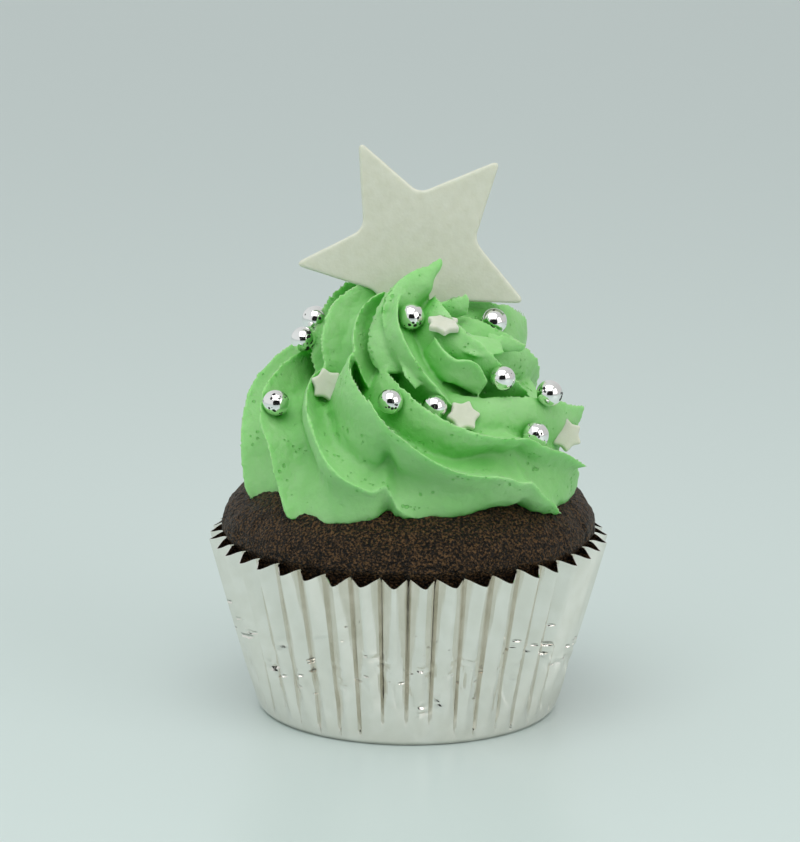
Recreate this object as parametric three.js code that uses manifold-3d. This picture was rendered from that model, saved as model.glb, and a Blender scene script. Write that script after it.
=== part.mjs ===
// A chocolate cupcake in a fluted foil case, with a piped buttercream swirl, a sugar star stood in
// its top, small silver balls and small sugar stars. Millimetres, +Z up, origin on the floor of the
// case under its axis. The photographed side faces -Y.

import * as THREE from 'three';
import { mergeVertices } from 'three/addons/utils/BufferGeometryUtils.js';
import Module from 'manifold-3d';

const wasm = await Module();
wasm.setup();

// Foil baking case: a 2 inch floor and a 1.25 inch wall that flares to the rim
const FLUTES = 42;
const CASE_FLOOR_RADIUS = 25.2;
const CASE_RIM_RADIUS = 32.4;
const CASE_RIM_HEIGHT = 30;
const CASE_WALL = 0.5;
const CASE_FLOOR = 0.4;
const FLUTE_DEPTH_RIM = 2.5;
const FLUTE_DEPTH_FLOOR = 0.3;
const FLUTE_GROWTH = 0.8; // power by which the flutes deepen with the height
const FLUTE_RIM_DIP = 0.5; // outer folds lean out, so their tips stand lower than the inner ones
const CASE_ROWS = [0, 0.04, 0.3, 0.65, 1]; // shares of the wall's height
const CASE_LOWEST = 0.5; // where the outside of the wall starts
const FLOOR_EDGE_ROUND = 0.9;

// Sponge: it fills the case and domes above the rim
const DOME_RADIUS = 31.4;
const DOME_SPRING = 30.9; // height where the dome starts
const DOME_RISE = 12.8;
const DOME_POWER = 2.2;
const CAKE_SIDES = 48;
const DOME_ROWS = 9;
const CAKE_ROWS = [0.06, 0.5, 1]; // shares of the case's height
const CAKE_EDGE = 0.6; // its floor is narrower by this
const GAP = 0.3; // left between pieces that touch
const SLIVER = 0.03; // edges shorter than this are closed up after the joins

// Piped coil: stations along the rope. turn counts clockwise from above from the start, out is the
// path's distance from the axis, up its height, thick the rope's radius, roll the section's turn
const COIL_START = -8; // azimuth in degrees
const COIL = [
  { turn: 0.0, out: 20.2, up: 46.0, thick: 10.0, roll: 1 },
  { turn: 0.07, out: 19.1, up: 47.5, thick: 10.3, roll: 31 },
  { turn: 0.15, out: 17.5, up: 47.5, thick: 10.9, roll: 56 },
  { turn: 0.25, out: 15.5, up: 47.2, thick: 13.5, roll: 107 },
  { turn: 0.37, out: 14.2, up: 47.4, thick: 14.3, roll: 179 },
  { turn: 0.5, out: 15.0, up: 48.5, thick: 12.8, roll: 270 },
  { turn: 0.75, out: 16.2, up: 52.0, thick: 12.2, roll: 402 },
  { turn: 1.0, out: 11.0, up: 56.6, thick: 11.4, roll: 532 },
  { turn: 1.25, out: 6.2, up: 60.6, thick: 12.2, roll: 658 },
  { turn: 1.5, out: 4.4, up: 63.6, thick: 9.8, roll: 808 },
  { turn: 1.7, out: 3.6, up: 64.5, thick: 7.5, roll: 900 },
];
const COIL_STEPS_PER_TURN = 44;
const COIL_CUTS = [0, 0.58, 1.14, 1.7]; // a stretch under one turn never meets itself
const SAG_SQUARE = 6; // how square the rope's underside is pressed, 2 is round
const SAG_FILL = 0.95; // how far the weight closes the valleys underneath
const SAG_FROM = 0.2; // height below the rope's middle where that starts, as a share of its radius
const SAG_END = 1.15; // turns from the start, above which the rope is round again
const AXIS_CLEAR = 1; // left between the rope and the axis that it goes round

// Section of the open star nozzle: its teeth leave six ridges, none quite alike
const RIDGES = 6;
const RIDGE_SHIFT = [6, -15, -11, -3, 1, 7]; // degrees off an even spacing
const RIDGE_REACH = [1.19, 1.02, 0.89, 1.05, 1.0, 0.88];
const RIDGE_SHARES = [0, 0.14, 0.38, 0.62, 0.86]; // places from one ridge to the next
const VALLEY_DEPTH = 0.46; // as a share of the rope's radius
const VALLEY_ROUND = 0.9; // power that widens the valleys' floors
const RIDGE_LEAN = 17; // degrees that a ridge leans towards the next one
const LEAN_FADE = 1.3; // power by which the lean goes from the ridge down to the valley
const TIP_FLARE = 0.25; // the ridges splay where the rope starts
const TIP_BACK = 3.5;
const TIP_LENGTH = 0.035; // turns
const TIP_UNDER = -0.4; // ridges underneath draw in by this share of the splay
const TIP_UNDER_FROM = -0.3; // height in the section, as a share of its radius

// Peak: the rope drawn up and let go, leaning to the front right
const PEAK_PATH = [
  [-0.5, -1.0, 52],
  [-0.2, -3.2, 64],
  [1.2, -4.8, 71.5],
  [5.0, -6.0, 77.7],
];
const PEAK_THICK = [10.5, 6.4, 2.4, 0.3];
const PEAK_ROLL = [110, 60, 20, 0]; // degrees, azimuth of the first ridge
const PEAK_STEPS = 20;

// Folds drawn out of the swirl where the rope was let go, on its front. edge is a fold's free edge,
// foot the line where it leaves the swirl, thick its half thickness there, hollow how far its face
// is hollowed
const FOLDS = [
  {
    edge: [
      [0.9, -19.5, 58.4], [-0.7, -19, 60.3], [-2, -16.5, 62.8], [-3.2, -14.5, 64.9], [-4.4, -13, 67.1],
      [-4.8, -11.5, 69.9], [-3.9, -10.3, 72.2], [-1.6, -8.8, 74.7], [1.4, -7.5, 76.3], [5.1, -6, 77.5],
    ],
    foot: [
      [2.6, -12, 59.3], [1.5, -11, 60.8], [0.8, -9.5, 62.6], [0.2, -8, 64.3], [-0.1, -7, 66.2],
      [0.6, -6, 68.1], [1.9, -5.6, 70.1], [3.2, -5.6, 72.2], [3.9, -5.8, 74.4], [5.4, -6, 77],
    ],
    thick: 1.6,
    hollow: 1.0,
  },
  {
    edge: [
      [-4.7, -15.5, 60.1], [-6.4, -13.5, 61.2], [-7.1, -12, 63.5], [-7.1, -10.8, 65.8], [-6.7, -9.8, 68],
      [-4.9, -8.9, 71.4], [-2.6, -8, 74], [0.4, -7.2, 76.1], [4.6, -6, 77.6],
    ],
    foot: [
      [-1.7, -15.5, 60.2], [-2.4, -14.5, 62], [-3.4, -13.2, 64.1], [-4, -12, 66], [-4.5, -10.8, 68.3],
      [-3.8, -9.6, 71.2], [-2.2, -8.6, 73.5], [0.4, -7.5, 75.4], [4.9, -6, 77.4],
    ],
    thick: 0.9,
    hollow: 0.4,
  },
  {
    edge: [[3.3, -7.2, 71], [4.7, -7.4, 70.9], [6.7, -7.2, 71.7], [9.5, -6.4, 72.2]],
    foot: [[3.5, -7, 67.8], [4.8, -6.5, 67.4], [6.8, -6, 67.6], [9.3, -5.4, 68.4]],
    thick: 1.2,
    hollow: 0.4,
  },
  {
    edge: [
      [3.9, -15, 66.4], [5.7, -16.8, 64.3], [7.4, -17.6, 63.3], [9.7, -17.6, 63.2], [11.4, -17.4, 62],
      [12.7, -16.3, 59.3],
    ],
    foot: [
      [2.6, -12, 63.1], [3.7, -13.5, 61.1], [5.4, -14.5, 59.3], [7.5, -14.5, 58.6], [9.3, -14, 57.5],
      [11.2, -13.5, 55.9],
    ],
    thick: 1.6,
    hollow: -0.5,
  },
  {
    edge: [[7, -12.5, 65.4], [9, -14.8, 63.8], [11.4, -14.8, 63.2], [15.4, -12, 63.2]],
    foot: [[7.6, -9, 66.2], [9.7, -9.5, 65.4], [12.3, -9, 64.8], [14.7, -8, 63.9]],
    thick: 1.3,
    hollow: 0.3,
  },
  {
    edge: [[12.7, -8.2, 66.1], [15.5, -8, 65.4], [19.7, -5.5, 63.4]],
    foot: [[12.7, -8, 63.2], [15.5, -7.5, 62.4], [18.4, -5, 62.1]],
    thick: 1.4,
    hollow: 0.3,
  },
];
const FOLD_STEPS = 2; // rings from one point of an edge to the next
const FOLD_SIDES = 8;
const FOLD_EDGE = 0.16; // thickness of the free edge, as a share of the foot's
const FOLD_FULL = 5; // a fold narrower than this is thinner in the same measure
const FOLD_THINNEST = 0.1; // lowest share of its thickness
const FOLD_STRIDE = 0.1; // share of a step over which an edge's direction is taken

// Core under the swirl, which fills what the rope goes round
const CORE = [
  [0, 40],
  [14, 40],
  [14, 52],
  [9, 62],
  [4, 68],
  [0, 69],
];
const CORE_SIDES = 24;

// Star of rolled sugar paste, cut by hand and pushed into the top of the swirl. Each tip and waist
// in turn by its azimuth in the star's own plane, in degrees, and its reach
const STAR_CORNERS = [
  [47.4, 19.2],
  [89.3, 9.3],
  [119.3, 19.5],
  [160.7, 9.8],
  [187.8, 19.9],
  [227.0, 9.9],
  [263.0, 19.4],
  [297.5, 9.9],
  [333.5, 19.2],
  [368.9, 9.6],
];
const STAR_THICK = 2.5;
const STAR_LEAN = 8; // degrees, top away from the front
const STAR_CENTRE = [1.2, 2.0, 77.9];
const STAR_EDGE_ROUND = 0.6;
const STAR_EDGE_OUT = 0.7; // how far the rounding reaches out, as a share of its depth
const STAR_WAIST_SHARE = 0.6; // a waist moves by this share of what a tip does
const STAR_TIP_GAP = 1.8; // a tip's corner stands this much further out than its sides

// Silver balls by their middles, sunk a little into the icing
const BALL_RADIUS = 2.15;
const BALL_SIDES = 6;
const BALL_ROWS = 4;
const BALLS = [
  [-17.8, -0.2, 62.8],
  [-15.9, 3.5, 65.5],
  [-22.0, -9.4, 53.9],
  [-3.1, -22.5, 57.2],
  [0.2, -11.1, 68.9],
  [4.0, -19.3, 55.7],
  [15.1, -14.2, 59.4],
  [20.6, -15.4, 50.2],
  [23.0, -10.5, 56.1],
  [13.9, -0.6, 66.1],
  [14.9, 17.8, 58.0],
  [15.2, 20.4, 48.5],
  [3.6, 19.1, 62.3],
  [-5.6, 23.7, 51.8],
  [-12.5, 16.8, 60.6],
  [-21.2, 11.9, 48.7],
];

// Small sugar stars: middle of each and the way that it faces
const SPRINKLE_TIPS = 6;
const SPRINKLE_RADIUS = 2.8;
const SPRINKLE_WAIST = 2.05;
const SPRINKLE_THICK = 1.3;
const SPRINKLE_CORNERS = Array.from({ length: 2 * SPRINKLE_TIPS }, (_, i) => (
  [(i * 180) / SPRINKLE_TIPS, i % 2 === 0 ? SPRINKLE_RADIUS : SPRINKLE_WAIST]
));
const SPRINKLES = [
  { middle: [-13.8, -10.3, 57.1], facing: [0.15, -0.9, 0.4] },
  { middle: [8.7, -18.7, 54.0], facing: [0.2, -0.78, 0.6] },
  { middle: [5.4, -13.0, 68.0], facing: [0.1, -0.35, 0.93] },
  { middle: [26.0, -6.5, 48.2], facing: [0.3, -0.9, 0.3] },
  { middle: [10.8, 23.2, 60.0], facing: [0.2, 0.67, 0.71] },
  { middle: [-0.8, 22.7, 57.0], facing: [0.31, 0.95, -0.07] },
  { middle: [-16.8, 15.0, 53.0], facing: [-0.67, 0.74, -0.02] },
];

const radians = THREE.MathUtils.degToRad;
const lerp = THREE.MathUtils.lerp;
const clamp = THREE.MathUtils.clamp;

// A smooth value between the stations of a table, by cubic pieces
function between(xs, ys, x) {
  const last = xs.length - 1;
  const slope = (i) => {
    const a = Math.max(i - 1, 0);
    const b = Math.min(i + 1, last);
    return (ys[b] - ys[a]) / (xs[b] - xs[a]);
  };
  let i = 0;
  while (i < last - 1 && x > xs[i + 1]) i += 1;
  const h = xs[i + 1] - xs[i];
  const t = (x - xs[i]) / h;
  const t2 = t * t;
  const t3 = t2 * t;
  return (2 * t3 - 3 * t2 + 1) * ys[i] + (t3 - 2 * t2 + t) * h * slope(i)
    + (3 * t2 - 2 * t3) * ys[i + 1] + (t3 - t2) * h * slope(i + 1);
}

// A closed skin through rings of equal length, with a fan over the first and the last
function skin(rings) {
  const count = rings[0].length;
  const points = rings.flat();
  const faces = [];
  for (let i = 0; i < rings.length - 1; i += 1) {
    for (let j = 0; j < count; j += 1) {
      const a = i * count + j;
      const b = i * count + ((j + 1) % count);
      faces.push(a, b, b + count, a, b + count, a + count);
    }
  }
  for (const [ring, base, flip] of [[rings[0], 0, true], [rings.at(-1), points.length - count, false]]) {
    const centre = new THREE.Vector3();
    for (const p of ring) centre.addScaledVector(p, 1 / count);
    const hub = points.push(centre) - 1;
    for (let j = 0; j < count; j += 1) {
      const a = base + j;
      const b = base + ((j + 1) % count);
      faces.push(...(flip ? [b, a, hub] : [a, b, hub]));
    }
  }
  const geometry = new THREE.BufferGeometry().setFromPoints(points);
  geometry.setIndex(faces);
  return geometry;
}

function toSolid(geometry, matrix = new THREE.Matrix4()) {
  const bare = geometry.clone().applyMatrix4(matrix);
  bare.deleteAttribute('normal');
  bare.deleteAttribute('uv');
  const merged = mergeVertices(bare, 1e-4);
  return new wasm.Manifold(new wasm.Mesh({
    numProp: 3,
    vertProperties: new Float32Array(merged.attributes.position.array),
    triVerts: new Uint32Array(merged.index.array),
  }));
}

function toGeometry(solid) {
  const mesh = solid.getMesh();
  const geometry = new THREE.BufferGeometry();
  geometry.setAttribute('position', new THREE.BufferAttribute(mesh.vertProperties, 3));
  geometry.setIndex(new THREE.BufferAttribute(mesh.triVerts, 1));
  return geometry;
}

// The largest of the closed shells in a mesh, which drops scraps and fills sealed hollows
function largestShell(geometry) {
  const index = geometry.index.array;
  const parent = Array.from({ length: geometry.attributes.position.count }, (_, i) => i);
  const find = (i) => {
    let root = i;
    while (parent[root] !== root) root = parent[root];
    parent[i] = root;
    return root;
  };
  for (let i = 0; i < index.length; i += 3) {
    parent[find(index[i])] = find(index[i + 1]);
    parent[find(index[i + 1])] = find(index[i + 2]);
  }
  const counts = new Map();
  for (const i of index) counts.set(find(i), (counts.get(find(i)) ?? 0) + 1);
  const keep = [...counts].sort((a, b) => b[1] - a[1])[0][0];
  const kept = geometry.clone();
  kept.setIndex([...index].filter((i) => find(i) === keep));
  return kept.toNonIndexed();
}

// Fluted wall, from the middle of the floor out, up to the rim and down again inside
function caseRing(share, inset, height) {
  const ring = [];
  const mean = lerp(CASE_FLOOR_RADIUS, CASE_RIM_RADIUS, share) - inset;
  const depth = lerp(FLUTE_DEPTH_FLOOR, FLUTE_DEPTH_RIM, share ** FLUTE_GROWTH);
  for (let j = 0; j < 2 * FLUTES; j += 1) {
    const outer = j % 2 === 0 ? 0.5 : -0.5;
    const angle = (j * Math.PI) / FLUTES;
    const dip = share * FLUTE_RIM_DIP * outer;
    const radius = mean + depth * outer;
    ring.push(new THREE.Vector3(radius * Math.cos(angle), radius * Math.sin(angle), height - dip));
  }
  return ring;
}

function caseGeometry() {
  const edge = caseRing(0, FLOOR_EDGE_ROUND, 0);
  const height = (share, lowest) => Math.max(share * CASE_RIM_HEIGHT, lowest);
  const outside = CASE_ROWS.map((share) => caseRing(share, 0, height(share, CASE_LOWEST)));
  const inside = CASE_ROWS.map((share) => caseRing(share, CASE_WALL, height(share, CASE_FLOOR)));
  return skin([edge, ...outside, ...inside.reverse()]);
}

// Sponge outline from the middle of its floor to the top of its dome
function cakeOutline(grow = 0) {
  const valley = (share) => lerp(CASE_FLOOR_RADIUS, CASE_RIM_RADIUS, share)
    - lerp(FLUTE_DEPTH_FLOOR, FLUTE_DEPTH_RIM, share ** FLUTE_GROWTH) / 2 - CASE_WALL - GAP;
  const floor = CASE_FLOOR + GAP;
  const outline = [new THREE.Vector2(0, floor), new THREE.Vector2(valley(0) - CAKE_EDGE, floor)];
  for (const share of CAKE_ROWS) {
    outline.push(new THREE.Vector2(valley(share), share * CASE_RIM_HEIGHT));
  }
  for (let i = 0; i <= DOME_ROWS; i += 1) {
    const around = (i / DOME_ROWS) * (Math.PI / 2);
    const out = Math.cos(around) ** (2 / DOME_POWER);
    const up = Math.sin(around) ** (2 / DOME_POWER);
    const radius = i === DOME_ROWS ? 0 : (DOME_RADIUS + grow) * out;
    outline.push(new THREE.Vector2(radius, DOME_SPRING + (DOME_RISE + grow) * up));
  }
  return outline;
}

// Points round the nozzle's section: angle in degrees from the first ridge, reach as a share of
// the rope's radius, and valley from 0 on a ridge to 1 between two
function section() {
  const points = [];
  for (let k = 0; k < RIDGES; k += 1) {
    const next = (k + 1) % RIDGES;
    const from = (360 / RIDGES) * k + RIDGE_SHIFT[k];
    const to = (360 / RIDGES) * (k + 1) + RIDGE_SHIFT[next];
    for (const share of RIDGE_SHARES) {
      const valley = Math.sin(Math.PI * share) ** VALLEY_ROUND;
      const lean = RIDGE_LEAN * (1 - valley) ** LEAN_FADE;
      points.push({
        angle: lerp(from, to, share) + lean,
        reach: lerp(RIDGE_REACH[k], RIDGE_REACH[next], share),
        valley,
      });
    }
  }
  return points;
}

const SECTION = section();
const TURNS = COIL.map((station) => station.turn);
const column = (name, turn) => between(TURNS, COIL.map((station) => station[name]), turn);

function coilPoint(turn) {
  const azimuth = radians(COIL_START - 360 * turn);
  const out = column('out', turn);
  return new THREE.Vector3(out * Math.cos(azimuth), out * Math.sin(azimuth), column('up', turn));
}

// The rope's section at one place on the coil, kept on its own side of the axis
function coilRing(turn) {
  const step = 1e-3;
  const azimuth = radians(COIL_START - 360 * turn);
  const centre = coilPoint(turn);
  const along = coilPoint(turn + step).sub(coilPoint(turn - step)).normalize();
  const outward = new THREE.Vector3(Math.cos(azimuth), Math.sin(azimuth), 0);
  outward.addScaledVector(along, -outward.dot(along)).normalize();
  const up = new THREE.Vector3().crossVectors(along, outward);
  const thick = column('thick', turn);
  const roll = column('roll', turn);
  const square = 2 + (SAG_SQUARE - 2) * clamp(SAG_END - turn, 0, 1);
  const start = Math.exp(-turn / TIP_LENGTH);
  const inner = column('out', turn) - AXIS_CLEAR;
  return SECTION.map(({ angle, reach, valley }) => {
    const around = radians(angle + roll - 180);
    let x = -Math.sin(around);
    let y = Math.cos(around);
    if (x > 0 && y < 0) {
      const round = (x ** square + (-y) ** square) ** (-1 / square);
      x *= round;
      y *= round;
    }
    const depth = VALLEY_DEPTH * valley * (1 - SAG_FILL * clamp((-y - SAG_FROM) / (1 - SAG_FROM), 0, 1));
    const splay = start * (1 - valley) * (y < TIP_UNDER_FROM ? TIP_UNDER : 1);
    let radius = thick * reach * (1 - depth) * (1 + TIP_FLARE * splay);
    if (x < 0 && -x * radius > inner) radius = inner / -x;
    return centre.clone()
      .addScaledVector(outward, x * radius)
      .addScaledVector(up, y * radius)
      .addScaledVector(along, -TIP_BACK * splay);
  });
}

function coilStretch(from, to) {
  const steps = Math.ceil((to - from) * COIL_STEPS_PER_TURN);
  const rings = [];
  for (let i = 0; i <= steps; i += 1) rings.push(coilRing(lerp(from, to, i / steps)));
  return skin(rings);
}

// The peak's section turns with height, about a path that leans
function peakGeometry() {
  const curve = new THREE.CatmullRomCurve3(PEAK_PATH.map((p) => new THREE.Vector3(...p)));
  const marks = PEAK_PATH.map((_, i) => i / (PEAK_PATH.length - 1));
  const rings = [];
  for (let i = 0; i <= PEAK_STEPS; i += 1) {
    const share = i / PEAK_STEPS;
    const centre = curve.getPoint(share);
    const along = curve.getTangent(share);
    const side = new THREE.Vector3(1, 0, 0).addScaledVector(along, -along.x).normalize();
    const back = new THREE.Vector3().crossVectors(along, side);
    const thick = between(marks, PEAK_THICK, share);
    const roll = between(marks, PEAK_ROLL, share);
    rings.push(SECTION.map(({ angle, reach, valley }) => {
      const around = radians(angle + roll);
      const radius = thick * reach * (1 - VALLEY_DEPTH * valley);
      return centre.clone()
        .addScaledVector(side, radius * Math.cos(around))
        .addScaledVector(back, radius * Math.sin(around));
    }));
  }
  return skin(rings);
}

// A thin-edged fold: a round section squeezed between the edge and the foot, bowed by the hollow
function foldGeometry({ edge, foot, thick, hollow }) {
  const marks = edge.map((_, i) => i);
  const last = edge.length - 1;
  const place = (line, at) => {
    const kept = clamp(at, 0, last);
    return new THREE.Vector3(...[0, 1, 2].map((axis) => between(marks, line.map((p) => p[axis]), kept)));
  };
  const rings = [];
  for (let i = 0; i <= last * FOLD_STEPS; i += 1) {
    const at = i / FOLD_STEPS;
    const along = place(edge, at + FOLD_STRIDE).sub(place(edge, at - FOLD_STRIDE));
    const free = place(edge, at);
    const across = place(foot, at).sub(free);
    const face = new THREE.Vector3().crossVectors(across, along).normalize();
    const room = clamp(across.length() / FOLD_FULL, FOLD_THINNEST, 1);
    const ring = [];
    for (let j = 0; j < FOLD_SIDES; j += 1) {
      const around = (j / FOLD_SIDES) * 2 * Math.PI;
      const share = (1 - Math.cos(around)) / 2;
      const half = thick * lerp(FOLD_EDGE, 1, share) * Math.sin(around);
      const bow = hollow * Math.sin(Math.PI * share);
      ring.push(free.clone().addScaledVector(across, share).addScaledVector(face, room * (half + bow)));
    }
    rings.push(ring);
  }
  return skin(rings);
}

// Outline with flat sides from corner to corner, each an azimuth in degrees and a reach
function starShape(corners) {
  return new THREE.Shape(corners.map(([azimuth, reach]) => {
    const angle = radians(azimuth);
    return new THREE.Vector2(reach * Math.cos(angle), reach * Math.sin(angle));
  }));
}

// The standing star, lying in its own plane with its middle at the origin
function starGeometry(grow = 0) {
  const round = grow > 0 ? 0 : STAR_EDGE_ROUND;
  const shape = starShape(STAR_CORNERS.map(([azimuth, reach], i) => {
    const share = i % 2 === 0 ? 1 : STAR_WAIST_SHARE;
    return [azimuth, reach + (grow * STAR_TIP_GAP - round) * share];
  }));
  const depth = STAR_THICK + 2 * grow - 2 * round;
  const geometry = new THREE.ExtrudeGeometry(shape, {
    depth,
    bevelEnabled: round > 0,
    bevelThickness: round,
    bevelSize: round * STAR_EDGE_OUT,
    bevelSegments: 2,
    steps: 1,
  });
  geometry.translate(0, 0, -depth / 2);
  geometry.rotateX(Math.PI / 2);
  return geometry;
}

const STAR_PLACE = new THREE.Matrix4().compose(
  new THREE.Vector3(...STAR_CENTRE),
  new THREE.Quaternion().setFromAxisAngle(new THREE.Vector3(1, 0, 0), radians(-STAR_LEAN)),
  new THREE.Vector3(1, 1, 1),
);

function icingGeometry() {
  const core = CORE.map((p) => new THREE.Vector2(...p));
  let icing = toSolid(new THREE.LatheGeometry(core, CORE_SIDES), upright());
  for (let i = 0; i < COIL_CUTS.length - 1; i += 1) {
    icing = icing.add(toSolid(coilStretch(COIL_CUTS[i], COIL_CUTS[i + 1])));
  }
  icing = icing.add(toSolid(peakGeometry()));
  for (const fold of FOLDS) icing = icing.add(toSolid(foldGeometry(fold)));
  icing = icing.subtract(toSolid(new THREE.LatheGeometry(cakeOutline(GAP), CAKE_SIDES), upright()));
  for (const middle of BALLS) {
    const ball = new THREE.SphereGeometry(BALL_RADIUS, BALL_SIDES, BALL_ROWS);
    icing = icing.add(toSolid(ball, new THREE.Matrix4().setPosition(...middle)));
  }
  for (const { middle, facing } of SPRINKLES) {
    const shape = starShape(SPRINKLE_CORNERS);
    const sprinkle = new THREE.ExtrudeGeometry(shape, { depth: SPRINKLE_THICK, bevelEnabled: false });
    sprinkle.translate(0, 0, -SPRINKLE_THICK / 2);
    const normal = new THREE.Vector3(...facing).normalize();
    const turn = new THREE.Quaternion().setFromUnitVectors(new THREE.Vector3(0, 0, 1), normal);
    sprinkle.applyQuaternion(turn);
    icing = icing.add(toSolid(sprinkle, new THREE.Matrix4().setPosition(...middle)));
  }
  icing = icing.subtract(toSolid(starGeometry(GAP), STAR_PLACE));
  return largestShell(toGeometry(icing.simplify(SLIVER)));
}

// Lathed shapes stand along Y, so they are turned up to Z
function upright() {
  return new THREE.Matrix4().makeRotationX(Math.PI / 2);
}

function piece(name, geometry, colour, roughness, metalness = 0) {
  const material = new THREE.MeshStandardMaterial({ color: colour, roughness, metalness });
  const mesh = new THREE.Mesh(geometry, material);
  mesh.name = name;
  return mesh;
}

const cupcake = new THREE.Group();

const foil = piece('case', caseGeometry(), 0xd9dcdb, 0.25, 1);
cupcake.add(foil);

const sponge = piece('cake', new THREE.LatheGeometry(cakeOutline(), CAKE_SIDES), 0x3a2a20, 0.9);
sponge.rotation.x = Math.PI / 2;
cupcake.add(sponge);

cupcake.add(piece('icing', icingGeometry(), 0xa2dd98, 0.55));

const star = piece('star', starGeometry(), 0xeeefe8, 0.6);
star.applyMatrix4(STAR_PLACE);
cupcake.add(star);

export default cupcake;
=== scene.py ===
# Chocolate cupcake in a fluted foil case, piped with green buttercream and dressed with a sugar
# star, silver sugar balls and small sugar stars. Metres in the scene, millimetres in the tables.
import math

import bpy
import numpy as np
from mathutils import Matrix, Quaternion, Vector


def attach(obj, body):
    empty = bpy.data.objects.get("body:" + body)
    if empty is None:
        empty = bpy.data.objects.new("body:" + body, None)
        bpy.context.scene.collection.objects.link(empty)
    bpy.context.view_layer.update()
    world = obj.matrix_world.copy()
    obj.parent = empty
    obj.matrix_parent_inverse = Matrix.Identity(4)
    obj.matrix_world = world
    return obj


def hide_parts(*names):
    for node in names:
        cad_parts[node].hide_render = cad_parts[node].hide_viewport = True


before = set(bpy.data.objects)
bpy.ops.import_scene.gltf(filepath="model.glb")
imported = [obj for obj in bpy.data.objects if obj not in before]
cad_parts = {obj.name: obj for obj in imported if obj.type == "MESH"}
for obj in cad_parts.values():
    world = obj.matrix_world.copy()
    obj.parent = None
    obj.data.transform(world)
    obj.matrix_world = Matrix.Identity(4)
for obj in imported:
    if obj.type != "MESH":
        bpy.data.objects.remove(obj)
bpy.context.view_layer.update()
bpy.ops.object.select_all(action="DESELECT")

MM = 0.001

# Foil case
FLUTES = 42
FLOOR_RADIUS = 25.2
RIM_RADIUS = 32.4
RIM_HEIGHT = 30.0
FLUTE_DEPTH_RIM = 2.5
FLUTE_DEPTH_FLOOR = 0.3
FOLD_PINCH = 0.7
RIM_ZIGZAG = 1.1
RIM_FRONT_DIP = 0.7
FINGER_TICKS = 95
FINGER_CREASES = 110
FOIL = 0.12
POINTS_PER_FLUTE = 12
FOIL_ROWS = 76

# Sponge
DOME_RADIUS = 31.4
DOME_SPRING = 30.9
DOME_RISE = 12.8
DOME_POWER = 2.2
CAKE_SIDES = 480

# Piped coil: turns, distance from the axis, height, thickness, roll
COIL_START = -8.0
COIL = np.array([
    (0.00, 20.2, 46.0, 10.0, 1),
    (0.07, 19.1, 47.5, 10.3, 31),
    (0.15, 17.5, 47.5, 10.9, 56),
    (0.25, 15.5, 47.2, 13.5, 107),
    (0.37, 14.2, 47.4, 14.3, 179),
    (0.50, 15.0, 48.5, 12.8, 270),
    (0.75, 16.2, 52.0, 12.2, 402),
    (1.00, 11.0, 56.6, 11.4, 532),
    (1.25, 6.2, 60.6, 12.2, 658),
    (1.50, 4.4, 63.6, 9.8, 808),
    (1.70, 3.6, 64.5, 7.5, 900),
])
COIL_CUTS = (0.0, 0.58, 1.14, 1.7)
STEPS_PER_TURN = 260
SAG_SQUARE = 6.0
SAG_FILL = 0.8
SAG_FROM = 0.2
RIDGES = 6
RIDGE_SHIFT = (6, -15, -11, -3, 1, 7)
RIDGE_REACH = (1.19, 1.02, 0.89, 1.05, 1.0, 0.88)
POINTS_PER_RIDGE = 18
VALLEY_DEPTH = 0.46
RIDGE_LEAN = 17.0
TIP_FLARE = 0.25
TIP_BACK = 3.5
TIP_LENGTH = 0.035
PEAK_PATH = np.array([(-0.5, -1.0, 52), (-0.2, -3.2, 64), (1.2, -4.8, 71.5), (5.0, -6.0, 77.7)])
PEAK_THICK = (10.5, 6.4, 2.4, 0.3)
PEAK_ROLL = (110, 60, 20, 0)
ICING_VOXEL = 0.3
ICING_TRIANGLES = 190000

# Where the lowest ridges hang over the sponge or end short of it: azimuth, width in degrees, rise, reach
HANG_TOP = 53.0
HANG_FADE = 7.0
HANGS = [(-117, 13, -1.0, 3.0), (-98, 3, 2.4, -0.8), (-56, 13, 2.2, -1.0), (-47, 3, 1.2, 0.0),
         (-148, 6, 1.8, 0.0)]

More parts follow.
